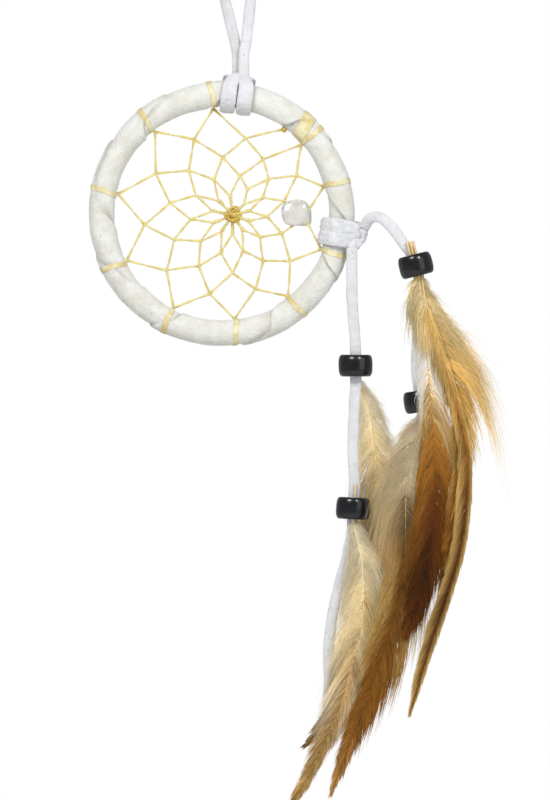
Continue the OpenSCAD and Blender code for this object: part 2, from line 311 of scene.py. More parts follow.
def lark_head(name, centre, tails, apart, wide, thick, lift, crinkle, seed):
    """A hitch on the hoop at centre. Each half is a track of u (along the hoop), angle round the
    tube (0 is the front, 90 the outside, 270 the inside), height over the tube and width. The
    half is mirrored in u, and the two join at the fold. tails are the points past each end."""
    outside = unit(centre - hoop_at)
    along = np.cross(FRONT, outside)
    along = along if along[0] > 0 or along[2] > 0.9 else -along
    half = np.array([
        (1.05, 112, 0.5, 1.1), (1.05, 150, 0.15, 1.12), (1, 200, 0, 1.1), (1, 250, 0, 1.1),
        (1, 290, 0, 1.1), (1, 330, 0, 1.12), (1, 365, 0.05, 1.12), (0.98, 392, 0.2, 1.1),
        (0.78, 412, 0.55, 1.02), (0.4, 424, 0.9, 1.0), (0, 428, 1, 1.0)])
    other = half[-2::-1].copy()
    other[:, 0] *= -1
    track = np.vstack([half * [-1, 1, 1, 1], other * [-1, 1, 1, 1]])
    turn = np.radians(track[:, 1:2])
    radial = np.cos(turn) * FRONT + np.sin(turn) * outside
    height = HITCH_R + lift * track[:, 2:3]
    places = centre + along * track[:, :1] * apart + radial * height
    body = np.hstack([places, radial, track[:, 3:] * wide])
    ends = [np.hstack([tail, np.tile(FRONT, (len(tail), 1)),
                       np.linspace(1, TAIL_NARROW, len(tail))[:, None] * LACE_W])
            for tail in tails]
    rows = smooth_line(np.vstack([ends[0][::-1], body, ends[1]]), 0.22 * MM)
    line, outward, width = rows[:, :3], unit(rows[:, 3:6]), rows[:, 6]
    _, across, out = frames(line, outward)
    profile = strap_profile(1.0, thick, 32, 2.6)
    grid = (line[:, None] + across[:, None] * profile[None, :, :1] * width[:, None, None]
            + out[:, None] * profile[None, :, 1:])
    bumps = ripple(grid, 1.3 * MM, seed) + 0.5 * ripple(grid, 0.5 * MM, seed + 1)
    grid = grid + out[:, None] * (crinkle * bumps)[..., None]
    piece = grid_object(name, grid)
    return piece


neck = np.array(joints["hanger_twist"]["pos_m"])
hanger_knot = lark_head(
    "hanger_knot", hitch_at,
    [neck + np.array([(-0.9, 0.3, -2.6), (-0.8, 0.8, -0.6), (-0.8, 0.8, 1.2)]) * MM,
     neck + np.array([(0.9, -0.2, -2.6), (0.8, -0.8, -0.6), (0.8, -0.8, 1.2)]) * MM],
    apart=2.15 * MM, wide=3.6 * MM, thick=1.0 * MM, lift=1.0 * MM, crinkle=0.09 * MM, seed=21)
side_knot = lark_head(
    "side_knot_lace", side_at,
    [from_knot([(5.6, -1.6, -1.4), (4.6, -3.6, -2.6), (3.4, -4.5, -3.6), (3.2, LEFT_Y, -5.2)]),
     from_knot([(5.8, -1.4, 0.2), (6.3, -2.2, 1.2), (7, -3, 2.6)])],
    apart=1.6 * MM, wide=3.7 * MM, thick=1.5 * MM, lift=1.5 * MM, crinkle=0.3 * MM, seed=27)

# The side knot's fold is a lumpy ball, pressed flatter from front to back, where the lace turns.
FOLD_HALF = np.array([2.1, 1.7, 2.4]) * MM
fold = ball(32, 48, 0.03) * FOLD_HALF
lumps = 0.12 * ripple(fold, 1.4 * MM, 29) + 0.05 * ripple(fold, 0.6 * MM, 30)
fold = fold * (1 + lumps)[..., None]
side_fold = grid_object("side_knot_fold", fold + from_knot([5.3, -1.5, 0.2]))
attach(side_fold, "side_knot")
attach(hanger_knot, "hitch")
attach(side_knot, "side_knot")
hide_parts("hanger_hitch")
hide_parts("side_hitch")

# %% [markdown]
# ## The wrapped hoop
# A suede strip is wound round a bare ring, and each turn covers the edge of the one before. Seen
# along the tube, its thickness is a saw-tooth that follows a helix, so the radius is one formula of
# the two angles: round the hoop (theta) and round the tube (phi).

# %% Wrapping
WRAP_TURNS = 9
STRIP_STEP = 0.6 * MM


def tube_point(theta, phi, radius):
    """A point at angle theta round the hoop, phi round the tube (0 outside, 90 front)."""
    outward = np.stack([np.cos(theta), np.zeros_like(theta), np.sin(theta)], -1)
    reach = (mid_r + radius * np.cos(phi))[..., None]
    return hoop_at + outward * reach + FRONT * (radius * np.sin(phi))[..., None]


def wrap_phase(theta, phi):
    """Where a point lies across the strip, from 0 at its raised edge to 1 at the next edge."""
    wander = (0.16 * np.sin(3 * theta + 1) + 0.12 * np.sin(7 * theta + 2)
              + 0.05 * np.sin(13 * theta))
    return (WRAP_TURNS * theta / (2 * np.pi) - phi / (2 * np.pi) + wander
            + 0.05 * np.sin(2 * phi + 3 * theta)) % 1


def wrap_radius(theta, phi):
    """The tube's radius: a saw-tooth along a helix of WRAP_TURNS turns, plus soft lumps."""
    phase = wrap_phase(theta, phi)
    rise = np.clip((phase - 0.975) / 0.025, 0, 1)
    rise = rise * rise * (3 - 2 * rise)
    tooth = (1 - phase) ** 0.7 * (1 - rise) + rise
    skin = tube_point(theta, phi, np.full_like(theta, tube_r))
    lumps = 0.1 * MM * ripple(skin, 5 * MM, 31) + 0.05 * MM * ripple(skin, 1.6 * MM, 32)
    return tube_r - 0.2 * MM + STRIP_STEP * (tooth - 0.35) + lumps


def angles(rows, columns):
    """Two grids of angles: theta down the rows and phi along the columns, full turns."""
    theta = np.linspace(0, 2 * np.pi, rows, endpoint=False)
    phi = np.linspace(0, 2 * np.pi, columns, endpoint=False)
    return np.meshgrid(theta, phi, indexing="ij")


theta, phi = angles(1500, 60)
skin = tube_point(theta, phi, np.full_like(theta, tube_r))
nap = 0.02 * MM * ripple(skin, 0.35 * MM, 33)
wrapping = grid_object("hoop_wrapping", tube_point(theta, phi, wrap_radius(theta, phi) + nap),
                       "join")
# Painted shade: the low side of each turn, just before the next raised edge, goes into the edge
# attribute in patches, and the suede material darkens its colour there.
low_side = np.clip((wrap_phase(theta, phi) - 0.86) / 0.1, 0, 1) ** 2
painted_step_shade = low_side * (0.6 + 0.4 * np.sin(5 * theta + 2 * phi))
paint(wrapping, "edge", np.repeat(painted_step_shade[..., None], 3, axis=-1))
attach(wrapping, "hoop")
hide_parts("hoop_wrap")
print("wrapping", len(wrapping.data.polygons), "faces")

# %% [markdown]
# ## The web
# The web is one thread. It is hitched to the hoop at a few places, then to the middle of each
# strand of the round before, and every hitch pulls its strand in towards the centre. So each knot
# is the middle of two earlier ones, moved towards the centre.

# %% Web knots
# START is each hitch's angle round the hoop, PULL how far each later knot moves inwards.
START = np.radians([53.5, 94.5, 129, 169, 206, 243, 277, 309, 340.5, 375, 401])
PULL = [0.20] * 10 + [0.24] * 11 + [0.31] * 11 + [0.49] * 10
THREAD = 0.5 * MM
LAG = len(START)
web_centre = hoop_at + np.array([2.9, 0, -0.3]) * MM
anchor_r = mid_r - tube_r - THREAD / 2
knots = [hoop_at + anchor_r * np.array([np.cos(a), 0, np.sin(a)]) for a in START]
for pull in PULL:
    middle = (knots[-LAG] + knots[-LAG + 1]) / 2
    knots.append(middle + pull * (web_centre - middle))
knots = np.array(knots)
later = np.arange(LAG, len(knots))
inner = np.arange(len(knots) - LAG + 1, len(knots))
starts = np.concatenate([knots[later], knots[later], knots[inner]])
stops = np.concatenate([knots[later - LAG], knots[later - LAG + 1],
                        np.tile(web_centre, (len(inner), 1))])
print(len(knots), "knots,", len(starts), "strands")


# %% Web strands
def round_rings(line, across, out, radius, sides):
    """Rings round many lines: (n, rings, 3) lines become (n, rings, sides, 3) points."""
    a = np.linspace(0, 2 * np.pi, sides, endpoint=False)
    wheel = across[..., None, :] * np.cos(a)[:, None] + out[..., None, :] * np.sin(a)[:, None]
    return line[..., None, :] + wheel * radius[..., None, None]


def strands(a, b, ply, seed, rings=11, sides=6):
    """Two twisted plies for each strand from a to b, thicker where it runs into a knot."""
    draw = np.random.default_rng(seed)
    t = np.linspace(0, 1, rings)[None, :, None]
    a, b = a[:, None], b[:, None]
    along = unit(b - a)
    across = unit(np.cross(along, FRONT))
    bow = draw.normal(size=(len(a), 1, 1)) * 0.05 * MM * np.sin(np.pi * t)
    core = a + (b - a) * t + across * bow + FRONT * bow[::-1]
    near = np.abs(2 * t[..., 0] - 1) ** 4
    turn = draw.uniform(0, 6.3, (len(a), 1, 1)) + t * np.pi * 1.5
    radius = ply * (1 + 0.35 * near + 0.12 * np.sin(9 * t[..., 0] + turn[..., 0]))
    across, out = np.broadcast_to(across, core.shape), np.broadcast_to(FRONT, core.shape)
    apart = ply * (0.75 + 0.4 * near[..., None])
    split = (across * np.cos(turn) + out * np.sin(turn) * 0.6) * apart
    return [round_rings(core + side * split, across, out, radius, sides) for side in (-1, 1)]


def blobs(places, size, seed, rings=8, sides=8):
    """Balls at places, each stretched by its own random share of size in x, y and z."""
    draw = np.random.default_rng(seed)
    stretch = draw.uniform(0.75, 1.25, (len(places), 1, 1, 3)) * size
    return places[:, None, None] + ball(rings, sides, 0.05) * stretch


def gather(name, grids):
    """One object from several stacks of tubes: each becomes a mesh, and the meshes are joined."""
    parts = [grid_object(name, grid) for grid in grids]
    with bpy.context.temp_override(active_object=parts[0], selected_editable_objects=parts):
        bpy.ops.object.join()
    return parts[0]


PLY, INNER_PLY, KNOT_R = 0.18 * MM, 0.25 * MM, 0.42 * MM
net = strands(starts, stops, PLY, 41)
heart_strands = strands(knots[inner] + 0.15 * MM, np.tile(web_centre, (len(inner), 1)),
                        INNER_PLY, 42)
web = gather("web_net", net + heart_strands + [blobs(knots[1:], KNOT_R, 43)])
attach(web, "hoop")
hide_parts("web_thread")


# %% Hitches of thread, tie-off and centre knot
def thread_rings(at, spread, plies, ply, slant=0.0):
    """Turns of thread round the hoop's tube side by side: theta stays near at, phi goes round."""
    offset = (np.linspace(-0.5, 0.5, plies) * spread)[:, None]
    phi = np.broadcast_to(np.linspace(0, 2 * np.pi, 64, endpoint=False), (plies, 64))
    theta = at + offset / mid_r + slant * np.cos(phi) + 0.004 * np.sin(3 * phi + 40 * offset)
    line = tube_point(theta, phi, wrap_radius(theta, phi) + ply * 0.55)
    heart = tube_point(theta, phi, np.zeros_like(phi))
    out = unit(line - heart)
    along = unit(np.roll(line, -1, 1) - np.roll(line, 1, 1))
    across = unit(np.cross(along, out))
    return round_rings(line, across * 1.25, out * 0.7, np.full(phi.shape, ply), 6)


BAND_WIDE, BAND_PLY = 0.95 * MM, 0.17 * MM
TIE_AT, TIE_WIDE, TIE_PLY = np.radians(46.5), 3.0 * MM, 0.19 * MM
GLUE_R = 1.0 * MM
draw = np.random.default_rng(51)
bands = [thread_rings(a, BAND_WIDE, 4, BAND_PLY, draw.uniform(-0.03, 0.02)) for a in START[1:]]
thread_hitches = grid_object("thread_hitches", np.concatenate(bands), "join")
tie_off = grid_object("tie_off", thread_rings(TIE_AT, TIE_WIDE, 11, TIE_PLY, 0.02), "join")
glue = grid_object("glue_drop", blobs(knots[:1], GLUE_R, 53, 24, 24))

# The centre knot is a ball of tilted loops. Each goes round its own random axis, wobbles a little
# and lies over a waxy heart that fills the ball.
LOOPS, LOOP_SIDES = 16, 40
LOOP_PLY, HEART_HALF = 0.24 * MM, np.array([1.15, 0.69, 1.15]) * MM
a = np.linspace(0, 2 * np.pi, LOOP_SIDES, endpoint=False)[None]
reach = draw.uniform(0.8, 1.9, (LOOPS, 1)) * MM
reach = reach * (1 + 0.15 * np.sin(3 * a + draw.uniform(0, 6, (LOOPS, 1))))
axis = unit(draw.normal(size=(LOOPS, 1, 3)) * [0.55, 1, 0.55])
first = unit(np.cross(axis, draw.normal(size=(LOOPS, 1, 3))))
second = np.cross(axis, first)
centre_line = (first * np.cos(a)[..., None] + second * np.sin(a)[..., None]) * reach[..., None]
centre_line = centre_line * [1, 0.8, 1] + web_centre + draw.uniform(-0.5, 0.5, (LOOPS, 1, 3)) * MM
along = unit(np.roll(centre_line, -1, 1) - np.roll(centre_line, 1, 1))
across = unit(np.cross(along, axis))
loops = round_rings(centre_line, across, np.cross(across, along),
                    np.full((LOOPS, LOOP_SIDES), LOOP_PLY), 6)
centre_knot = grid_object("centre_knot_turns", loops, "join")
centre_heart = grid_object("centre_knot_heart", blobs(web_centre[None], HEART_HALF, 55, 16, 20))
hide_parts("web_hitches")
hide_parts("web_tie_off")
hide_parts("web_centre_knot")
for piece in (thread_hitches, tie_off, glue, centre_knot, centre_heart):
    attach(piece, "hoop")

# %% [markdown]
# ## Stone chip
# A tumbled chip is a block cut by flat breaks and then rubbed round. The radius in a direction is
# the nearest of a few planes; a soft minimum instead of a hard one rubs the edges.

# %% Stone chip
def cut_stone(centre, half_size, planes, softness, seed, rings=48, sides=64):
    """A body whose radius is a soft minimum of plane distances: (sum r_i^-n)^(-1/n)."""
    draw = np.random.default_rng(seed)
    normals = unit(np.vstack([draw.normal(size=(planes, 3)), np.eye(3), -np.eye(3)]))
    away = np.concatenate([draw.uniform(0.9, 1.12, planes), np.ones(6)])
    ray = ball(rings, sides, 0.02)
    facing = np.maximum(ray @ normals.T, 1e-3)
    radius = ((away / facing) ** -softness).sum(-1) ** (-1 / softness)
    return centre + ray * radius[..., None] * half_size


stone_low, stone_high = box_of("stone_chip")
stone_half = (stone_high - stone_low) / 2 * 1.02
stone = grid_object("stone_chip_cut", cut_stone((stone_low + stone_high) / 2, stone_half,
                                                14, 7, 61))
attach(stone, "hoop")
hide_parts("stone_chip")

# %% [markdown]
# ## Beads
# A pony bead is round, so its surface is a profile spun about the hole. The profile here is a
# flat-sided ring with well rounded edges, a slightly sunk face and a little handmade wobble.

# %% Beads
BEAD_R, BEAD_HALF, BORE_R = 4.5 * MM, 2.9 * MM, 2.1 * MM


def turned_bead(name, node, tilt, seed):
    """Spins a rounded section round the bead's own axis, which leans by tilt degrees."""
    low, high = box_of(node)
    centre, lean = (low + high) / 2, np.radians(tilt)
    a = np.linspace(0, 2 * np.pi, 56, endpoint=False)
    c, s = np.cos(a), np.sin(a)
    fat = (np.abs(c) ** 2.8 + np.abs(s) ** 2.8) ** (-1 / 2.8)
    across = (BEAD_R + BORE_R) / 2 + c * fat * (BEAD_R - BORE_R) / 2
    height = s * fat * BEAD_HALF * (1 - 0.05 * np.exp(-((across - BORE_R) / MM) ** 2))
    spin = np.linspace(0, 2 * np.pi, 96, endpoint=False)[:, None]
    local = np.stack([across * np.cos(spin), across * np.sin(spin), height + 0 * spin], -1)
    local = local * (1 + 0.012 * ripple(local, 3 * MM, seed)[..., None])
    turn = np.array([[np.cos(lean), 0, np.sin(lean)], [0, 1, 0], [-np.sin(lean), 0, np.cos(lean)]])
    bead = grid_object(name, local @ turn.T + centre, "join")
    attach(bead, node.replace("_bead", ""))
    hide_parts(node)
    return bead


BEAD_TILT = {"left_upper": 0, "left_lower": 3, "right_upper": -14, "right_lower": -8}
beads = [turned_bead(f"{place}_pony_bead", f"{place}_bead", tilt, 70 + i)
         for i, (place, tilt) in enumerate(BEAD_TILT.items())]

# %% [markdown]
# ## Feathers
# A rooster feather is a shaft with hundreds of barbs. Near the bead the barbs are down: long, thin,
# loose and curled. Further on they lie close together and slope to the tip as a vane. Every barb
# here starts on the shaft at s, runs a length L to one side and bends with the shaft:
# point = shaft(s + forward(t)) + side * sideways(t) + depth(t), for t from 0 at the shaft to 1.

# %% Feather tools
def keyed(values, at):
    """Reads a row of values, spread evenly from 0 to 1, at the given places."""
    values = np.asarray(values, float)
    keys = np.linspace(0, 1, len(values))
    if values.ndim == 1:
        return np.interp(at, keys, values)
    return np.stack([np.interp(at, keys, column) for column in values.T], -1)


def srgb(*colours):
    """Colours picked as 0-255 screen values, turned into the linear ones Blender works in."""
    c = np.array(colours, float) / 255
    return np.where(c < 0.04045, c / 12.92, ((c + 0.055) / 1.055) ** 2.4)


LOCK_MOODS = 97


def barbs(shaft, kind, draw):
    """All barbs of one kind: a grid of points (barbs, rings, 3, 3) and a colour for each point.

    kind holds rows keyed along its span of the shaft: half width, colour at the root and at the
    end. Barbs come in locks that share a length, a tone and a depth, and whose ends meet."""
    count, rings = kind["count"], kind["rings"]
    low, high = kind["span"]
    s = np.linspace(low, high, count) + draw.normal(0, kind["scatter"], count)
    s = np.clip(s, low, high)
    part = (s - low) / (high - low)
    side = np.where(np.arange(count) % 2, 1.0, -1.0)
    # Locks on the two sides are out of step, and their lengths along the shaft wander.
    phase = s * kind["locks"] + side * 0.27 + 0.4 * np.sin(s * 29 + side)
    lock = np.floor(phase).astype(int)
    place = phase - lock - 0.5
    own = (lock * 2 + (side > 0)) % LOCK_MOODS
    lock_length, lock_tone, lock_depth = (draw.uniform(-1, 1, LOCK_MOODS)[own] for k in range(3))
    width = keyed(kind["width"], part) * MM * keyed(kind["lean"], part) ** side
    ragged = kind["ragged"]
    # A lock has its own length, its outer barbs are shorter, and every barb differs a little.
    reach = width * (1 + ragged * (0.16 * lock_length - 0.8 * np.abs(place) ** 1.6)
                     + draw.normal(0, 0.05 + 0.1 * ragged, count))
    # A barb leaves the shaft at its slope and sweeps forward; the lock's tips draw together.
    t = np.linspace(0, 1, rings)[None]
    slope = np.radians(kind["slope"] * np.clip(1 + draw.normal(0, kind["stray"], count), 0.7, 2))
    bend = kind["sweep"]
    forward = reach[:, None] / np.tan(slope)[:, None] * (t + bend * t * t) / (1 + bend)
    forward = forward - (place * kind["gather"] * width)[:, None] * t ** kind["hold"]
    base, frame_along, frame_across, frame_out = shaft_at(
        shaft, np.clip(s[:, None] + forward / length_of(shaft), 0, kind["past"]))
    reached = np.sin(t * np.pi / 2 * kind["round"]) / np.sin(np.pi / 2 * kind["round"])
    sideways = reach[:, None] * reached
    drift = draw.normal(0, 1, (4, count, 1))
    curl = kind["curl"] * MM
    depth = (kind["cup"] * reach[:, None] * t ** 2 + lock_depth[:, None] * kind["deep"] * MM * t
             + curl * (drift[0] * t + drift[1] * np.sin(3.2 * t + drift[2] * 2) * t)
             + drift[3] * 0.06 * MM)
    wave = curl * 0.6 * np.sin(t * 5 + drift[2] * 3) * t * drift[1]
    line = (base + frame_across * (side[:, None] * sideways + wave)[..., None]
            + frame_out * depth[..., None] + frame_along * (wave * 0.5)[..., None])
    thick = kind["thick"] * MM * (1 - 0.88 * t ** kind["taper"])
    thick = thick * draw.uniform(0.8, 1.2, (count, 1))
    along = unit(np.gradient(line, axis=1))
    across = unit(np.cross(along, unit(frame_out + 0.4 * drift[0][..., None] * frame_across)))
    grid = round_rings(line, across * kind["flat"], np.cross(unit(across), along), thick, 3)
    mix = t[..., None] ** 1.3
    root, end = keyed(kind["inner"], part)[:, None], keyed(kind["outer"], part)[:, None]
    tint = root * (1 - mix) + end * mix
    tint = tint * (1 + 0.22 * lock_tone + draw.normal(0, kind["mottle"], count))[:, None, None]
    tint = np.clip(tint * (1 + 0.1 * ripple(line, 5 * MM, 5)[..., None]), 0.002, 1)
    return grid, np.repeat(tint[:, :, None], 3, axis=2)


def shaft_at(shaft, at):
    """Place and directions of a shaft at fractions of its length; past the tip it runs straight."""
    rows = np.linspace(0, 1, len(shaft))
    along, across, out = frames(shaft)
    read = [np.stack([np.interp(at, rows, values[:, k]) for k in range(3)], -1)
            for values in (shaft, along, across, out)]
    beyond = np.maximum(at - 1, 0)[..., None] * length_of(shaft)
    return (read[0] + unit(read[1]) * beyond, *[unit(v) for v in read[1:]])


def shaft_radius(s):
    """A quill tapers from 0.36 mm to a hair."""
    return (0.36 - 0.31 * np.clip(s * 1.4, 0, 1) ** 0.5) * MM


STUB, PAST_BEAD = 3.5 * MM, 0.4 * MM


def feather(name, body, slot_name, off, points, node_base, looks, seed):
    """A quill and its barbs as separate objects that ride on one body.

    The quill runs straight through its bead at off from the bead's axis, then along the shaft."""
    draw = np.random.default_rng(seed)
    low, high = box_of(body + "_bead")
    lean = np.radians(BEAD_TILT[body])
    down = np.array([-np.sin(lean), 0, -np.cos(lean)])
    start = (low + high) / 2 + np.array([np.cos(lean), 0, -np.sin(lean)]) * off[0] * MM \
        + np.array([0, off[1] * MM, 0])
    through = [start + z * down for z in (-BEAD_HALF - STUB, 0, BEAD_HALF + PAST_BEAD)]
    shaft = smooth_line(np.vstack([through, from_knot(points)]), 0.6 * MM)
    bend = 0.12 * MM * np.sin(np.linspace(0, 9, len(shaft)) + seed)[:, None] * [0.3, 1, 0]
    shaft = shaft + bend * np.linspace(0, 1, len(shaft))[:, None]
    total = length_of(shaft)
    rows = np.linspace(0, 1, len(shaft))
    barbed = max(looks[part]["span"][1] for part in looks if part != "shaft")
    shown = rows <= barbed
    rows = rows[shown]
    _, across, out = frames(shaft)
    quill = grid_object(name + "_shaft", round_rings(shaft[shown], across[shown], out[shown],
                                                     shaft_radius(rows), 10))
    quill_tint = keyed(looks["shaft"], rows)
    paint(quill, "tint", np.repeat(quill_tint[:, None], 10, axis=1))
    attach(quill, body)
    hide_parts(node_base + "_quill")
    made = [quill]
    for part in ("down", "vane"):
        if part not in looks:
            continue
        grid, tint = barbs(shaft, looks[part], draw)
        piece = grid_object(f"{name}_{part}", grid)
        paint(piece, "tint", tint)
        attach(piece, body)
        made.append(piece)
    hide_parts(node_base + "_vane")
    print(name, "shaft", round(total / MM, 1), "mm,",
          sum(len(p.data.polygons) for p in made), "faces")
    return made


# %% [markdown]
# ## Six feathers
# Each feather is described by rows that run along it: how wide its barbs reach and which colours
# they take next to the shaft (inner) and at their ends (outer). The same rules then make a golden
# fan, a narrow rust feather and dark chestnut vanes. Points are millimetres from the side knot.

# %% Feather colours
CREAM, PALE_GOLD, ASH = srgb((222, 212, 186), (216, 197, 150), (196, 180, 150))
GOLD, DEEP_GOLD, OCHRE = srgb((214, 180, 108), (192, 151, 78), (150, 118, 66))
RUST, BROWN, CHESTNUT, NIGHT = srgb((148, 99, 38), (116, 75, 26), (88, 46, 15), (50, 27, 10))
OLIVE, HORN, TAN, SNOW = srgb((100, 84, 56), (216, 190, 140), (194, 161, 108), (228, 226, 222))

# locks is how many locks lie along the shaft, gather draws their tips together, hold says how far
# out that starts, lean is the ratio of the two sides, and past lets tips run beyond the shaft.
DOWN = dict(rings=9, slope=27, sweep=0.8, round=0.8, stray=0.4, curl=0.55, cup=0.02, thick=0.05,
            flat=1.3, mottle=0.1, taper=2, scatter=0.012, locks=16, ragged=0.9, gather=0.5,
            deep=0.9, hold=1.5, lean=[1], past=1.0)
VANE = dict(rings=10, slope=17, sweep=0.9, round=0.85, stray=0.12, curl=0.12, cup=0.05,
            thick=0.055, flat=2.2, mottle=0.17, taper=3, scatter=0.0007, locks=15, ragged=0.7,
            gather=0.25, deep=0.45, hold=2.6, lean=[1], past=1.1)

# %% Six feathers
FEATHERS = [
    dict(name="left_upper_feather", body="left_upper", slot_name="ochre_feather",
         node_base="left_upper", off=(0.4, 1.35), seed=101,
         points=[(8, -2.2, -47), (9.2, -0.4, -55), (10.2, 0.9, -62), (10.7, 1, -76),
                 (9.7, 1, -88), (6.8, 1, -102), (1.5, 1, -119), (-6, 1, -132), (-14, 1, -139.5)],
         looks=dict(
             shaft=[HORN, HORN, TAN, OCHRE, BROWN],
             down=DOWN | dict(
                 count=1900, span=(0.085, 0.5), width=[2, 5, 7, 7.5, 7, 6],
                 deep=0.3, curl=0.25, cup=0.14, locks=22, ragged=1.1,
                 inner=[CREAM, PALE_GOLD, TAN, TAN], outer=[CREAM, CREAM, PALE_GOLD, TAN]),
             vane=VANE | dict(
                 count=1700, span=(0.24, 0.95), width=[4, 6, 6, 5, 4, 2.6, 1.7, 0.3],
                 inner=[PALE_GOLD, TAN, OCHRE, OCHRE, BROWN],
                 outer=[CREAM, PALE_GOLD, TAN, TAN, OCHRE]))),
    dict(name="left_lower_feather", body="left_lower", slot_name="cream_feather",
         node_base="left_lower", off=(0.3, -1.35), seed=103,
         points=[(4.9, -6.4, -82), (6, -6.7, -89), (6, -6.7, -102), (3.4, -6.7, -113),
                 (-0.3, -6.7, -126), (-6.4, -6.7, -139), (-15.6, -6.7, -156)],
         looks=dict(
             shaft=[HORN, CREAM, CREAM, CREAM, TAN],
             down=DOWN | dict(
                 count=2000, span=(0.1, 0.48), width=[2, 6, 7, 6, 4], lean=[1, 1.1, 1.3],
                 locks=24, ragged=1.3, deep=1.2,
                 inner=[CREAM, PALE_GOLD, PALE_GOLD], outer=[CREAM, CREAM, PALE_GOLD]),
             vane=VANE | dict(
                 count=1500, span=(0.3, 0.95), width=[4, 5, 4, 2.8, 2, 1.4, 0.3],
                 inner=[TAN, TAN, OCHRE, OCHRE], outer=[PALE_GOLD, CREAM, TAN, TAN]))),
    dict(name="golden_feather", body="right_upper", slot_name="golden_feather",
         node_base="golden", off=(0, -1.35), seed=105,
         points=[(21.8, -12.3, -18), (24.4, -13.6, -25), (27.8, -15, -36), (30.4, -15.4, -49),
                 (31.2, -15.4, -65), (29.2, -15.4, -81), (26.6, -15.4, -94)],
         looks=dict(
             shaft=[HORN, HORN, GOLD, DEEP_GOLD, BROWN],
             down=DOWN | dict(
                 count=2300, span=(0.1, 0.36), width=[3, 5.5, 5, 4.8, 4.5, 4],
                 slope=29, curl=0.4, ragged=1.5, lean=[0.8, 0.9, 1.8, 2.1, 2.1],
                 locks=27, gather=0.9, deep=1.2,
                 inner=[PALE_GOLD, PALE_GOLD, GOLD, GOLD],
                 outer=[PALE_GOLD, PALE_GOLD, PALE_GOLD, GOLD]),
             vane=VANE | dict(
                 count=1700, span=(0.2, 0.94), width=[3, 5.5, 3, 2.2, 2, 1.8, 1.3, 0.3],
                 slope=24, locks=12, ragged=1.4, lean=[1.3, 1.6, 1.6, 1, 0.8, 0.8],
                 inner=[GOLD, DEEP_GOLD, RUST, BROWN, CHESTNUT],
                 outer=[PALE_GOLD, GOLD, GOLD, RUST, RUST]))),
    dict(name="long_feather", body="right_upper", slot_name="rust_feather",
         node_base="long", off=(0.8, -1.35), seed=107,
         points=[(22.6, -13.8, -18), (26.6, -16, -31), (32.4, -16.9, -52), (33.4, -16.9, -65),
                 (31.9, -16.9, -81), (28.4, -16.9, -94), (23.9, -16.9, -107.5),
                 (20, -16.9, -120.5), (16.8, -16.9, -131.8)],
         looks=dict(
             shaft=[HORN, TAN, BROWN, NIGHT, CHESTNUT],
             vane=VANE | dict(
                 count=2000, span=(0.14, 0.96), width=[0.8, 1.4, 1.7, 1.8, 1.8, 1.7, 1.3, 0.3],
                 locks=6, ragged=0.4, slope=14, lean=[0.8, 0.7, 0.8, 0.9],
                 inner=[GOLD, RUST, CHESTNUT, CHESTNUT, BROWN], outer=[GOLD] * 5))),
    dict(name="chestnut_feather", body="right_upper", slot_name="chestnut_feather",
         node_base="chestnut", off=(-0.8, -1.35), seed=109,
         points=[(21, -10.9, -18), (22.4, -12.2, -28), (23.4, -13.9, -39), (24.4, -14.1, -50),
                 (24.8, -14.1, -63), (24.6, -14.1, -76), (22.6, -14.1, -89),
                 (18.7, -14.1, -102), (14.7, -14.1, -113)],
         looks=dict(
             shaft=[HORN, TAN, BROWN, NIGHT, NIGHT],
             down=DOWN | dict(
                 count=1800, span=(0.09, 0.42), width=[1.5, 3.6, 3.6, 3.6],
                 lean=[1, 1.1, 1.1, 1.4],
                 inner=[PALE_GOLD, SNOW, SNOW, GOLD], outer=[CREAM, SNOW, SNOW, PALE_GOLD]),
             vane=VANE | dict(
                 count=2000, span=(0.3, 0.94), width=[2, 4, 5.5, 5.5, 4.6, 3.2, 2, 0.4],
                 lean=[1.6, 1.2, 1, 1, 1],
                 inner=[GOLD, RUST, CHESTNUT, NIGHT, CHESTNUT],
                 outer=[GOLD, RUST, BROWN, CHESTNUT, BROWN]))),
    dict(name="right_lower_feather", body="right_lower", slot_name="brown_feather",
         node_base="right_lower", off=(0, -1.35), seed=113,
         points=[(21.7, -10.3, -50), (19.4, -10.4, -57), (17.4, -10.4, -70), (17.2, -10.4, -83),
                 (15.4, -10.4, -97), (10.7, -10.4, -113), (4.9, -10.4, -128.5),
                 (-4.6, -10.4, -153.5)],
         looks=dict(
             shaft=[HORN, TAN, BROWN, CHESTNUT, BROWN],
             down=DOWN | dict(
                 count=2400, span=(0.07, 0.45), width=[2, 7.5, 8.5, 7, 6, 4],
                 lean=[0.8, 0.9, 1.3, 1.7],
                 inner=[ASH, ASH, OLIVE, RUST], outer=[ASH, PALE_GOLD, TAN, GOLD]),
             vane=VANE | dict(
                 count=2100, span=(0.26, 0.95), width=[4.5, 5, 5, 4.5, 3.4, 2.4, 1.4, 0.3],
                 lean=[1.15, 1.1, 1], locks=16, ragged=1.1,
                 inner=[OLIVE, BROWN, BROWN, BROWN, RUST],
                 outer=[TAN, GOLD, RUST, RUST, TAN])))]
feathers = [piece for one in FEATHERS for piece in feather(**one)]

# %% [markdown]
# ## Materials as sums
# Shader maths is easier to read as ordinary arithmetic. A small class wraps a socket, so a + b or
# a * 2 adds a Math node. Every other node comes from one method: its type, its settings, then the
# values or links of its inputs.

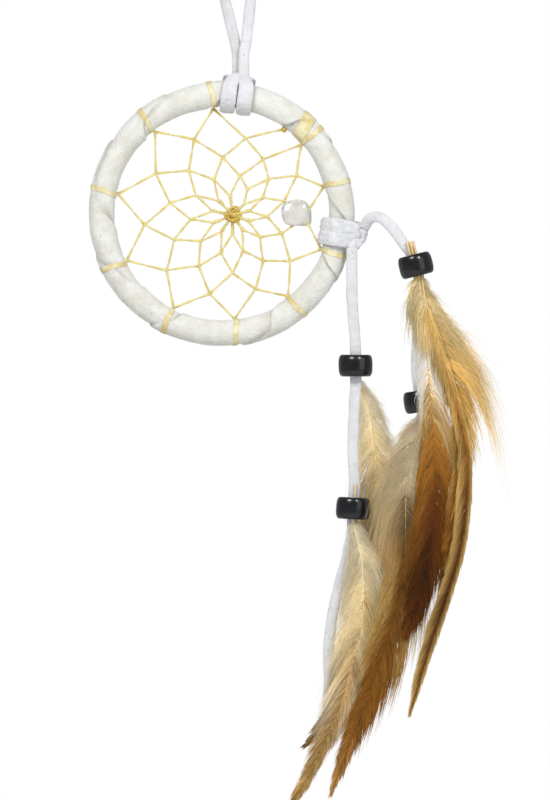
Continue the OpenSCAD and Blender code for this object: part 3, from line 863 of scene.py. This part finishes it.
# %% A small language for shader nodes
class Value:
    """A node's output socket that can be added, subtracted or multiplied."""

    def __init__(self, book, socket):
        self.book, self.socket = book, socket

    def maths(self, operation, *others):
        """A Math node on this value and the others."""
        return self.book.node("ShaderNodeMath", dict(operation=operation),
                              {i: v for i, v in enumerate((self, *others))})

    def __add__(self, other): return self.maths("ADD", other)
    def __radd__(self, other): return self.maths("ADD", other)
    def __mul__(self, other): return self.maths("MULTIPLY", other)
    def __rmul__(self, other): return self.maths("MULTIPLY", other)
    def __sub__(self, other): return self.maths("SUBTRACT", other)
    def __rsub__(self, other): return self.book.number(other).maths("SUBTRACT", self)

    def clip(self, low, high):
        """This value spread so that low becomes 0 and high becomes 1, with soft ends."""
        return self.book.node("ShaderNodeMapRange", dict(interpolation_type="SMOOTHSTEP"),
                              {"Value": self, "From Min": low, "From Max": high})


class Book:
    """One material: adds nodes to its tree and keeps them in rows."""

    def __init__(self, name):
        self.material = bpy.data.materials.new(name)
        self.material.use_nodes = True
        self.tree = self.material.node_tree
        self.tree.nodes.clear()
        self.coords = self.node("ShaderNodeTexCoord", {}, {}, "Object")

    def node(self, kind, settings, inputs, output=0):
        """Adds a node of a kind, sets its settings, then fills inputs with values or links."""
        node = self.tree.nodes.new(kind)
        node.location = (len(self.tree.nodes) % 12 * 180, -len(self.tree.nodes) // 12 * 260)
        for key, value in settings.items():
            setattr(node, key, value)
        for key, value in inputs.items():
            if isinstance(value, Value):
                self.tree.links.new(value.socket, node.inputs[key])
            else:
                node.inputs[key].default_value = value
        return Value(self, node.outputs[output])

    def number(self, amount):
        """A fixed number as a socket."""
        result = self.node("ShaderNodeValue", {}, {})
        result.socket.default_value = amount
        return result

    def noise(self, size, detail=3, rough=0.5):
        """Noise whose features are about size metres across, from 0 to 1."""
        return self.node("ShaderNodeTexNoise", {}, {
            "Vector": self.coords, "Scale": 1 / size, "Detail": detail, "Roughness": rough})

    def cracks(self, size):
        """Distance to the nearest edge of Voronoi cells about size metres across."""
        return self.node("ShaderNodeTexVoronoi", dict(feature="DISTANCE_TO_EDGE"),
                         {"Vector": self.coords, "Scale": 1 / size}, "Distance")

    def blend(self, factor, first, second):
        """A colour between two: first where factor is 0, second where it is 1."""
        return self.node("ShaderNodeMix", dict(data_type="RGBA"),
                         {0: factor, 6: self.colour(first), 7: self.colour(second)}, 2)

    def colour(self, value):
        """Linear colour rows get an alpha; sockets pass through."""
        return value if isinstance(value, Value) else (*map(float, value), 1.0)

    def bump(self, height, strength, depth):
        """A normal from a height of 0 to 1, where 1 stands depth metres above 0."""
        return self.node("ShaderNodeBump", {}, {"Height": height, "Strength": strength,
                                                "Distance": depth})

    def finish(self, **inputs):
        """A Principled surface from named inputs; an underscore stands for a space."""
        shader = self.node("ShaderNodeBsdfPrincipled", {}, {
            key.replace("_", " "): value for key, value in inputs.items()})
        out = self.tree.nodes.new("ShaderNodeOutputMaterial")
        self.tree.links.new(shader.socket, out.inputs["Surface"])
        return self.material


def dress(pieces, material):
    """Gives pieces a material."""
    for piece in pieces:
        piece.data.materials.clear()
        piece.data.materials.append(material)


# %% [markdown]
# ## Suede
# Faux suede is matt, with a short nap that catches light at the edges, faint blotches and a few
# dark fibres. The hoop's strip is creamier than the laces, and painted shade darkens the low side
# of each of its steps.

# %% Suede materials
def suede(name, bright, shade, fleck_and_shade, blotch_size):
    """A napped white cloth-like surface; where a mesh carries the edge attribute, painted shade
    darkens it.
    """
    book = Book(name)
    blotch = book.noise(blotch_size, 4, 0.6).clip(0.35, 0.68)
    nap = book.noise(0.3 * MM, 4, 0.75)
    weave = book.noise(0.7 * MM, 3, 0.6)
    flecks = book.noise(0.45 * MM, 2, 0.5).clip(0.68, 0.75)
    colour = book.blend(blotch, bright, shade)
    colour = book.blend(nap.clip(0.3, 0.75) * 0.22, colour, shade * 0.72)
    colour = book.blend(flecks * 0.6, colour, fleck_and_shade)
    # Painted shade: where the edge attribute is set, the colour is drawn towards the dark fleck
    # colour.
    edge = book.node("ShaderNodeAttribute", dict(attribute_name="edge"), {}, "Fac")
    colour = book.blend(edge * 0.34, colour, fleck_and_shade)
    return book.finish(Base_Color=colour, Roughness=0.93, Specular_IOR_Level=0.2,
                       Sheen_Weight=0.35, Sheen_Roughness=0.5,
                       Normal=book.bump(nap + weave, 0.9, 0.32 * MM))


WHITE_SUEDE, WHITE_SHADE, CREAM_SUEDE, CREAM_SHADE, FLECK_AND_SHADE = srgb(
    (220, 220, 223), (208, 209, 211), (226, 226, 221), (213, 211, 201), (96, 88, 76))
dress([loop_lace, left_tail, right_tail, hanger_knot, side_knot, side_fold],
      suede("white_suede", WHITE_SUEDE, WHITE_SHADE, FLECK_AND_SHADE, 3 * MM))
dress([wrapping], suede("cream_suede", CREAM_SUEDE, CREAM_SHADE, FLECK_AND_SHADE, 4 * MM))


# %% Waxed thread
def waxed(name, light, middle, dark):
    """Thread soaked in wax: three tones in soft patches and fine fibres."""
    book = Book(name)
    fibre = book.noise(0.25 * MM, 3, 0.6)
    tone = book.noise(2.2 * MM, 3, 0.6).clip(0.3, 0.7)
    wax = book.blend(fibre.clip(0.35, 0.7) * 0.28, book.blend(tone, light, middle), dark)
    return book.finish(Base_Color=wax, Roughness=0.42, Subsurface_Weight=0.12,
                       Subsurface_Scale=0.6 * MM, Coat_Weight=0.15, Coat_Roughness=0.3,
                       Normal=book.bump(fibre, 0.4, 0.06 * MM))


STRAW, AMBER, UMBER, HONEY = srgb((222, 210, 142), (204, 184, 102), (178, 148, 72), (196, 160, 54))
dress([web], waxed("waxed_thread", STRAW, AMBER, UMBER))
dress([glue, centre_knot, centre_heart], waxed("honey_wax", AMBER, HONEY, UMBER * 0.7))

book = Book("thread_on_suede")
PALE_WAX, OLD_WAX = srgb((216, 208, 172), (200, 182, 122))
band = book.noise(0.5 * MM, 3, 0.6)
dress([thread_hitches, tie_off], book.finish(
    Base_Color=book.blend(book.noise(2 * MM, 3).clip(0.35, 0.65), PALE_WAX, OLD_WAX),
    Roughness=0.5, Normal=book.bump(band, 0.4, 0.06 * MM)))

# %% [markdown]
# ## Quartz, lacquer and feather
# The chip is milky quartz: pale, a little see-through at its thin edges, with cloudy veils. The
# beads are black lacquer under a clear coat. A feather's colour comes from the tint painted on each
# barb, so its material adds fine bands, a soft silky shine and a faint emission, painted light that
# stands in for light passing through the barbs.

# %% Quartz
book = Book("milky_quartz")
veil = book.noise(2.6 * MM, 5, 0.65)
crack = book.cracks(1.9 * MM)
MILK, CLEAR, VEIN = srgb((216, 214, 208), (196, 194, 190), (232, 230, 226))
milk = book.blend(veil.clip(0.4, 0.62), MILK, CLEAR)
milk = book.blend((1 - crack.clip(0.0, 0.09)) * 0.35, milk, VEIN)
dress([stone], book.finish(
    Base_Color=milk, Roughness=0.16, IOR=1.54, Transmission_Weight=0.2,
    Subsurface_Weight=0.5, Subsurface_Scale=2 * MM,
    Normal=book.bump(book.noise(1.1 * MM, 3, 0.5), 0.2, 0.15 * MM)))

# %% Lacquer
book = Book("black_lacquer")
dust = book.noise(0.35 * MM, 3, 0.6)
patch = book.noise(2.5 * MM, 3, 0.5)
INK, SLATE = srgb((3, 4, 6), (17, 19, 24))
dress(beads, book.finish(
    Base_Color=book.blend(patch.clip(0.35, 0.7) * 0.6 + dust.clip(0.62, 0.72) * 0.3, INK, SLATE),
    Roughness=dust * 0.2 + 0.12, Specular_IOR_Level=0.4, Coat_Weight=0.1, Coat_Roughness=0.08,
    Normal=book.bump(dust * 0.5 + patch, 0.25, 0.08 * MM)))


# %% Feather materials
def plumage(name, rough, shine, painted_glow):
    """Reads the painted tint, adds fine bands, a silky shine and a faint emission.

    Light passes through thin barbs; the emission is painted light that stands in for it."""
    book = Book(name)
    tint = book.node("ShaderNodeAttribute", dict(attribute_name="tint"), {}, "Color")
    grain = book.noise(0.4 * MM, 3, 0.6)
    deep = book.node("ShaderNodeMix", dict(data_type="RGBA", blend_type="MULTIPLY"), {
        0: grain.clip(0.3, 0.75) * 0.35, 6: tint, 7: (0.62, 0.55, 0.48, 1.0)}, 2)
    # Painted light: the barbs emit a faint light in their own colour, standing in for light through
    # them.
    return book.finish(Base_Color=deep, Roughness=rough, Specular_IOR_Level=shine,
                       Emission_Color=deep, Emission_Strength=painted_glow,
                       Normal=book.bump(grain, 0.3, 0.04 * MM))


dress([p for p in feathers if p.name.endswith("_down")], plumage("down", 0.75, 0.1, 0.16))
dress([p for p in feathers if p.name.endswith("_vane")], plumage("vane", 0.7, 0.08, 0.1))
dress([p for p in feathers if p.name.endswith("_shaft")], plumage("horn", 0.6, 0.15, 0.05))

# %% [markdown]
# ## Light and floor
# A white studio: an even white surround, one large soft lamp from the upper left in front and a
# weaker one from the right. The background stays pure white for the camera, while the surround's
# light on the object is dimmer, which the Light Path node makes possible.

# %% Light
world = bpy.data.worlds.new("studio")
world.use_nodes = True
scene.world = world
tree = world.node_tree
tree.nodes.clear()
seen = tree.nodes.new("ShaderNodeBackground")
seen.inputs["Color"].default_value = (1, 1, 1, 1)
seen.inputs["Strength"].default_value = 1.0
lit = tree.nodes.new("ShaderNodeBackground")
lit.inputs["Color"].default_value = (0.96, 0.98, 1, 1)
lit.inputs["Strength"].default_value = 0.46
path = tree.nodes.new("ShaderNodeLightPath")
mix = tree.nodes.new("ShaderNodeMixShader")
tree.links.new(path.outputs["Is Camera Ray"], mix.inputs[0])
tree.links.new(lit.outputs[0], mix.inputs[1])
tree.links.new(seen.outputs[0], mix.inputs[2])
tree.links.new(mix.outputs[0], tree.nodes.new("ShaderNodeOutputWorld").inputs["Surface"])


LIT_MIDDLE = np.array([0.0, 0.0, -0.11])


def soft_lamp(name, place, watts, size):
    """A square area lamp that faces the middle of the object."""
    data = bpy.data.lights.new(name, "AREA")
    data.energy, data.size = watts, size
    lamp = bpy.data.objects.new(name, data)
    lamp.location = place
    towards = LIT_MIDDLE - place
    flat = np.hypot(towards[0], towards[1])
    lamp.rotation_euler = (np.arctan2(flat, -towards[2]), 0, np.arctan2(-towards[0], towards[1]))
    scene.collection.objects.link(lamp)


soft_lamp("key_lamp", (-0.45, -0.85, 0.6), 8.4, 0.4)
soft_lamp("fill_lamp", (0.8, -0.8, 0.1), 2.0, 0.7)
soft_lamp("glint_lamp", (0.4, -0.7, 0.42), 3.2, 0.16)

# %% Floor
FLOOR_Z, FLOOR_R = -0.33, 1.2
a = np.linspace(0, 2 * np.pi, 96, endpoint=False)
rim = np.stack([FLOOR_R * np.cos(a), FLOOR_R * np.sin(a), np.full(96, FLOOR_Z)], 1)
floor = new_object("floor", rim, [np.arange(96)[None]], smooth=False)
book = Book("pale_floor")
PALE, PALER = srgb((236, 236, 234), (244, 244, 243))
dress([floor], book.finish(Base_Color=book.blend(book.noise(0.2, 3), PALE, PALER), Roughness=0.8))
